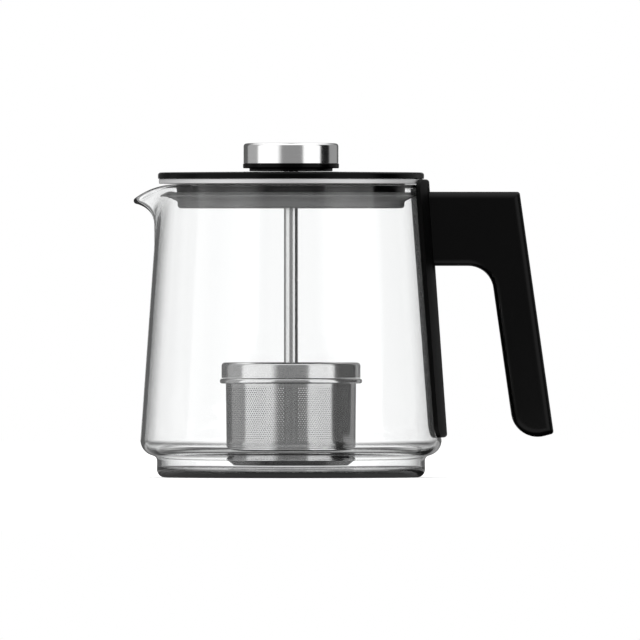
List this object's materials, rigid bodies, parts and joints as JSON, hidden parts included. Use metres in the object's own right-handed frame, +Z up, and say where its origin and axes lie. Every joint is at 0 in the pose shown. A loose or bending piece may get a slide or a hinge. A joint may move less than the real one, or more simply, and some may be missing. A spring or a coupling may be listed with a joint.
{
  "type": "glass tea maker",
  "caption": "Clear glass tea jug with spout and black bonded handle, black lid with a steel knob, and a perforated steel tea basket on a lift rod.",
  "frame": {"origin": "centre of the jug's foot, on the table", "axes": "+Z up along the axis of jug, rod and basket; +X from the axis to the handle, so that the spout points to -X; +Y away from a viewer who has the spout on the left"},
  "size_m": [0.2103, 0.1506, 0.1672],
  "materials": {
    "clear_glass": "clear, smooth",
    "black_plastic": "satin",
    "matt_plastic": "matt",
    "silicone": "soft, matt",
    "bond": "matt",
    "satin_steel": "fine brushed",
    "polished_steel": "polished",
    "mesh_steel": "perforated, satin",
    "screw_steel": "plain",
    "brass": "turned",
    "bush_plastic": "smooth"
  },
  "bodies": {
    "jug": {"jug_glass": "clear_glass", "strap_adhesive": "bond", "handle_strap": "black_plastic", "handle_shell": "black_plastic", "handle_cover": "black_plastic", "handle_inserts": "brass", "handle_screws": "screw_steel"},
    "lid": {"lid_cover": "black_plastic", "lid_trim_ring": "satin_steel", "lid_plug": "matt_plastic", "lid_seal": "silicone", "lid_screws": "screw_steel", "guide_bush": "bush_plastic", "bush_clip": "screw_steel", "rod_grip_ring": "silicone"},
    "plunger": {"knob_cap": "satin_steel", "knob_base": "black_plastic", "knob_washer": "screw_steel", "knob_screw": "screw_steel", "lift_rod": "satin_steel", "basket_base": "polished_steel", "basket_mesh": "mesh_steel", "basket_rim": "polished_steel", "rod_washer": "screw_steel", "rod_nut": "screw_steel"},
    "basket_lid": {"basket_cap": "satin_steel", "cap_grommet": "silicone"}
  },
  "joints": [
    {"name": "lid_lift", "type": "slide", "parent": "jug", "child": "lid", "axis": [0, 0, 1], "range_m": [0, 0.15]},
    {"name": "plunger_lift", "type": "slide", "parent": "lid", "child": "plunger", "axis": [0, 0, 1], "range_m": [0, 0.05875]},
    {"name": "cap_lift", "type": "slide", "parent": "plunger", "child": "basket_lid", "axis": [0, 0, 1], "range_m": [0, 0.0165]}
  ]
}
